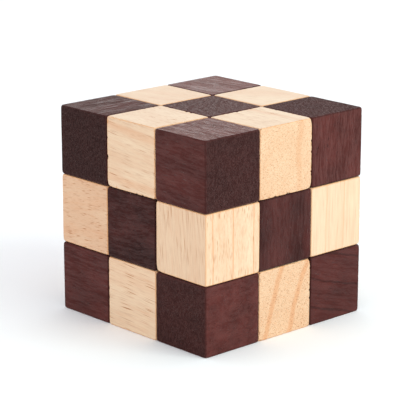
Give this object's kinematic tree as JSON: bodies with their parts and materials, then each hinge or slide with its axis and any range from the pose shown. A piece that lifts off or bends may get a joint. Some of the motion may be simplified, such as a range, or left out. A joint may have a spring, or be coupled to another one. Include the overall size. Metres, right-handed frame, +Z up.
{
  "type": "snake cube puzzle",
  "caption": "Folding cube puzzle: dark and light wooden cubelets in checkered order on one elastic cord, folded into a solid cube.",
  "frame": {"origin": "centre of the folded cube's underside", "axes": "+Z up through the folded layers; +X from the chain's first end along its first row; +Y across the rows"},
  "size_m": [0.0598, 0.0598, 0.0598],
  "materials": {
    "natural_wood": "sanded smooth, clear sealed, satin",
    "dark_stained_wood": "sanded smooth, stained dark red-brown, satin",
    "plug_wood": "end grain, sanded flush, stained dark red-brown with the cubelet",
    "elastic_cord": "rubber core in a braided cotton cover"
  },
  "bodies": {
    "cubelet_01": {"cubelet_01_end": "dark_stained_wood", "elastic_01_02": "elastic_cord", "end_knot_01": "elastic_cord", "end_plug_01": "plug_wood"},
    "cubelet_02": {"cubelet_02_straight": "natural_wood", "elastic_02_03": "elastic_cord"},
    "cubelet_03": {"cubelet_03_corner": "dark_stained_wood", "elastic_03_04": "elastic_cord"},
    "cubelet_04": {"cubelet_04_corner": "natural_wood", "elastic_04_05": "elastic_cord"},
    "cubelet_05": {"cubelet_05_straight": "dark_stained_wood"},
    "cubelet_06": {"cubelet_06_corner": "natural_wood", "elastic_05_06": "elastic_cord"},
    "cubelet_07": {"cubelet_07_corner": "dark_stained_wood", "elastic_06_07": "elastic_cord"},
    "cubelet_08": {"cubelet_08_straight": "natural_wood", "elastic_07_08": "elastic_cord"},
    "cubelet_09": {"cubelet_09_corner": "dark_stained_wood", "elastic_08_09": "elastic_cord"},
    "cubelet_10": {"cubelet_10_corner": "natural_wood", "elastic_bend_10": "elastic_cord"},
    "cubelet_11": {"cubelet_11_straight": "dark_stained_wood", "elastic_10_11": "elastic_cord"},
    "cubelet_12": {"cubelet_12_corner": "natural_wood", "elastic_11_12": "elastic_cord"},
    "cubelet_13": {"cubelet_13_corner": "dark_stained_wood", "elastic_12_13": "elastic_cord"},
    "cubelet_14": {"cubelet_14_straight": "natural_wood", "elastic_13_14": "elastic_cord"},
    "cubelet_15": {"cubelet_15_corner": "dark_stained_wood", "elastic_14_15": "elastic_cord"},
    "cubelet_16": {"cubelet_16_corner": "natural_wood", "elastic_15_16": "elastic_cord"},
    "cubelet_17": {"cubelet_17_straight": "dark_stained_wood", "elastic_16_17": "elastic_cord"},
    "cubelet_18": {"cubelet_18_corner": "natural_wood", "elastic_17_18": "elastic_cord"},
    "cubelet_19": {"cubelet_19_corner": "dark_stained_wood", "elastic_bend_19": "elastic_cord"},
    "cubelet_20": {"cubelet_20_straight": "natural_wood", "elastic_19_20": "elastic_cord"},
    "cubelet_21": {"cubelet_21_corner": "dark_stained_wood", "elastic_20_21": "elastic_cord"},
    "cubelet_22": {"cubelet_22_corner": "natural_wood", "elastic_21_22": "elastic_cord"},
    "cubelet_23": {"cubelet_23_straight": "dark_stained_wood", "elastic_22_23": "elastic_cord"},
    "cubelet_24": {"cubelet_24_corner": "natural_wood", "elastic_23_24": "elastic_cord"},
    "cubelet_25": {"cubelet_25_corner": "dark_stained_wood", "elastic_24_25": "elastic_cord"},
    "cubelet_26": {"cubelet_26_straight": "natural_wood", "elastic_25_26": "elastic_cord"},
    "cubelet_27": {"cubelet_27_end": "dark_stained_wood", "elastic_26_27": "elastic_cord", "end_knot_27": "elastic_cord", "end_plug_27": "plug_wood"},
    "elastic_09_10": {"elastic_09_10": "elastic_cord"},
    "elastic_18_19": {"elastic_18_19": "elastic_cord"}
  },
  "joints": [
    {"name": "pull_01_02", "type": "slide", "parent": "cubelet_02", "child": "cubelet_01", "axis": [-1, 0, 0], "range_m": [0, 0.006], "stiffness_N_per_m": 150},
    {"name": "pull_02_03", "type": "slide", "parent": "cubelet_03", "child": "cubelet_02", "axis": [-1, 0, 0], "range_m": [0, 0.006], "stiffness_N_per_m": 150},
    {"name": "pull_03_04", "type": "slide", "parent": "cubelet_04", "child": "cubelet_03", "axis": [0, -1, 0], "range_m": [0, 0.006], "stiffness_N_per_m": 150},
    {"name": "pull_04_05", "type": "slide", "parent": "cubelet_05", "child": "cubelet_04", "axis": [1, 0, 0], "range_m": [0, 0.006], "stiffness_N_per_m": 150},
    {"name": "pull_05_06", "type": "slide", "parent": "cubelet_05", "child": "cubelet_06", "axis": [-1, 0, 0], "range_m": [0, 0.006], "stiffness_N_per_m": 150},
    {"name": "pull_06_07", "type": "slide", "parent": "cubelet_06", "child": "cubelet_07", "axis": [0, 1, 0], "range_m": [0, 0.006], "stiffness_N_per_m": 150},
    {"name": "pull_07_08", "type": "slide", "parent": "cubelet_07", "child": "cubelet_08", "axis": [1, 0, 0], "range_m": [0, 0.006], "stiffness_N_per_m": 150},
    {"name": "pull_08_09", "type": "slide", "parent": "cubelet_08", "child": "cubelet_09", "axis": [1, 0, 0], "range_m": [0, 0.006], "stiffness_N_per_m": 150},
    {"name": "pull_09_10", "type": "slide", "parent": "cubelet_09", "child": "elastic_09_10", "axis": [0, 0, 1], "range_m": [0, 0.006], "stiffness_N_per_m": 150},
    {"name": "layer_swivel_09_10", "type": "hinge", "parent": "elastic_09_10", "child": "cubelet_10", "pos_m": [0.02, 0.02, 0.0269], "axis": [0, 0, 1], "continuous": true},
    {"name": "pull_10_11", "type": "slide", "parent": "cubelet_10", "child": "cubelet_11", "axis": [0, -1, 0], "range_m": [0, 0.006], "stiffness_N_per_m": 150},
    {"name": "pull_11_12", "type": "slide", "parent": "cubelet_11", "child": "cubelet_12", "axis": [0, -1, 0], "range_m": [0, 0.006], "stiffness_N_per_m": 150},
    {"name": "pull_12_13", "type": "slide", "parent": "cubelet_12", "child": "cubelet_13", "axis": [-1, 0, 0], "range_m": [0, 0.006], "stiffness_N_per_m": 150},
    {"name": "pull_13_14", "type": "slide", "parent": "cubelet_13", "child": "cubelet_14", "axis": [0, 1, 0], "range_m": [0, 0.006], "stiffness_N_per_m": 150},
    {"name": "pull_14_15", "type": "slide", "parent": "cubelet_14", "child": "cubelet_15", "axis": [0, 1, 0], "range_m": [0, 0.006], "stiffness_N_per_m": 150},
    {"name": "pull_15_16", "type": "slide", "parent": "cubelet_15", "child": "cubelet_16", "axis": [-1, 0, 0], "range_m": [0, 0.006], "stiffness_N_per_m": 150},
    {"name": "pull_16_17", "type": "slide", "parent": "cubelet_16", "child": "cubelet_17", "axis": [0, -1, 0], "range_m": [0, 0.006], "stiffness_N_per_m": 150},
    {"name": "pull_17_18", "type": "slide", "parent": "cubelet_17", "child": "cubelet_18", "axis": [0, -1, 0], "range_m": [0, 0.006], "stiffness_N_per_m": 150},
    {"name": "pull_18_19", "type": "slide", "parent": "cubelet_18", "child": "elastic_18_19", "axis": [0, 0, 1], "range_m": [0, 0.006], "stiffness_N_per_m": 150},
    {"name": "layer_swivel_18_19", "type": "hinge", "parent": "elastic_18_19", "child": "cubelet_19", "pos_m": [-0.02, -0.02, 0.0469], "axis": [0, 0, 1], "continuous": true},
    {"name": "pull_19_20", "type": "slide", "parent": "cubelet_19", "child": "cubelet_20", "axis": [0, 1, 0], "range_m": [0, 0.006], "stiffness_N_per_m": 150},
    {"name": "pull_20_21", "type": "slide", "parent": "cubelet_20", "child": "cubelet_21", "axis": [0, 1, 0], "range_m": [0, 0.006], "stiffness_N_per_m": 150},
    {"name": "pull_21_22", "type": "slide", "parent": "cubelet_21", "child": "cubelet_22", "axis": [1, 0, 0], "range_m": [0, 0.006], "stiffness_N_per_m": 150},
    {"name": "pull_22_23", "type": "slide", "parent": "cubelet_22", "child": "cubelet_23", "axis": [0, -1, 0], "range_m": [0, 0.006], "stiffness_N_per_m": 150},
    {"name": "pull_23_24", "type": "slide", "parent": "cubelet_23", "child": "cubelet_24", "axis": [0, -1, 0], "range_m": [0, 0.006], "stiffness_N_per_m": 150},
    {"name": "pull_24_25", "type": "slide", "parent": "cubelet_24", "child": "cubelet_25", "axis": [1, 0, 0], "range_m": [0, 0.006], "stiffness_N_per_m": 150},
    {"name": "pull_25_26", "type": "slide", "parent": "cubelet_25", "child": "cubelet_26", "axis": [0, 1, 0], "range_m": [0, 0.006], "stiffness_N_per_m": 150},
    {"name": "pull_26_27", "type": "slide", "parent": "cubelet_26", "child": "cubelet_27", "axis": [0, 1, 0], "range_m": [0, 0.006], "stiffness_N_per_m": 150}
  ]
}
